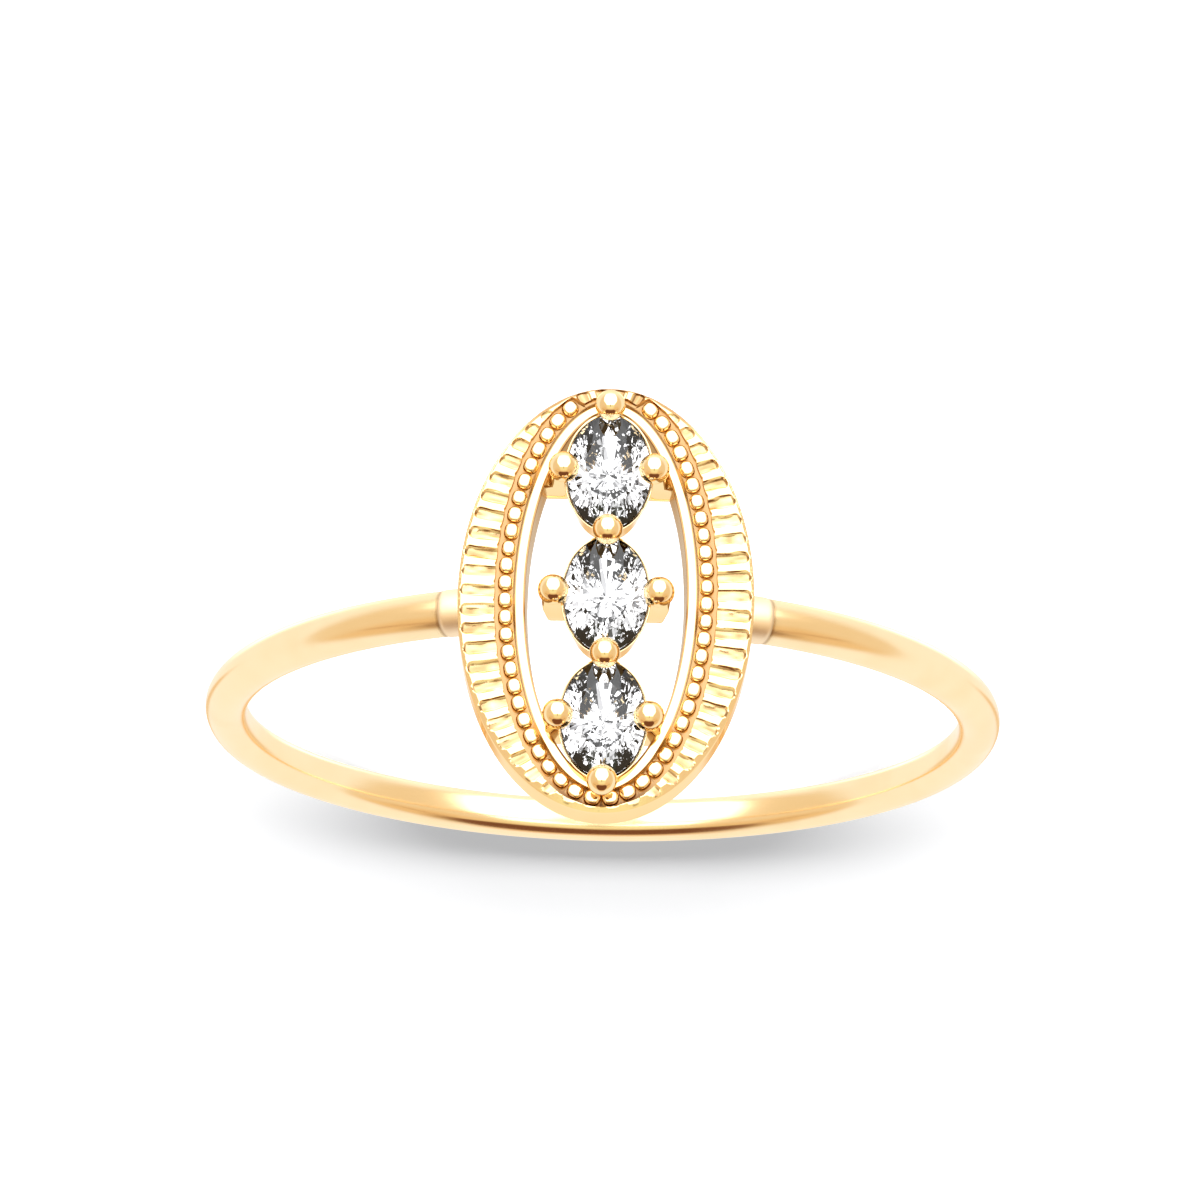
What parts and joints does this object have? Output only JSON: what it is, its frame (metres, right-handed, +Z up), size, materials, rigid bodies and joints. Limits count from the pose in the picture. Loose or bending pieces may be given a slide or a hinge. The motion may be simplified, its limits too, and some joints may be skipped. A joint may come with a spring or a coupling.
{
  "type": "medallion ring",
  "caption": "Slim gold finger ring with an upright oval medallion: an open frame of flutes and beads round a row of oval stones in claw settings. It lies on its side.",
  "frame": {"origin": "on the ground under the middle of the ring's box, with the ring lying on its side", "axes": "+Z up, away from the ground; the medallion faces -Y; +X across the ring. The finger hole's axis leans back from +Z towards +Y"},
  "size_m": [0.0192, 0.0208, 0.01],
  "materials": {
    "gold": "polished pale yellow gold plate",
    "stone": "clear, cut and polished"
  },
  "bodies": {
    "root": {"ring_metal": "gold", "stone_upper": "stone", "stone_middle": "stone", "stone_lower": "stone"}
  },
  "joints": []
}
